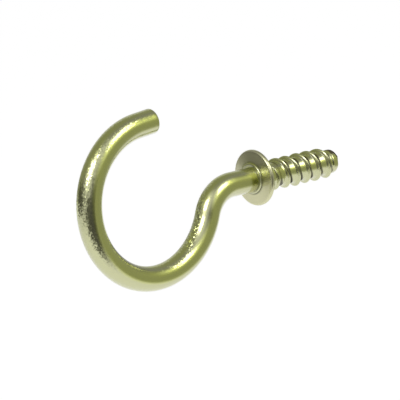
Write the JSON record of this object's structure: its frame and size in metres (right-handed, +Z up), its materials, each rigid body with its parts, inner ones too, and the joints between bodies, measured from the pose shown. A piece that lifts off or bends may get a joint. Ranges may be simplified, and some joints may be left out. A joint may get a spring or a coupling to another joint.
{
  "type": "cup hook",
  "caption": "Round bent-wire cup hook with an integral collar that seats on the wall and a blunt wood-screw thread behind it, for hanging a cup by its handle.",
  "frame": {"origin": "middle of the collar's flat back face, on the screw's centre line, where the hook seats on the wall", "axes": "+Y into the wall along the screw, +Z up, +X across the hook, which is bent in the plane X = 0 and stands out to -Y"},
  "size_m": [0.0085, 0.05, 0.0267],
  "materials": {
    "brass_plate": "thin bright brass-coloured plating on drawn steel wire, greenish, slightly grainy"
  },
  "bodies": {
    "root": {"cup_hook": "brass_plate"}
  },
  "joints": []
}
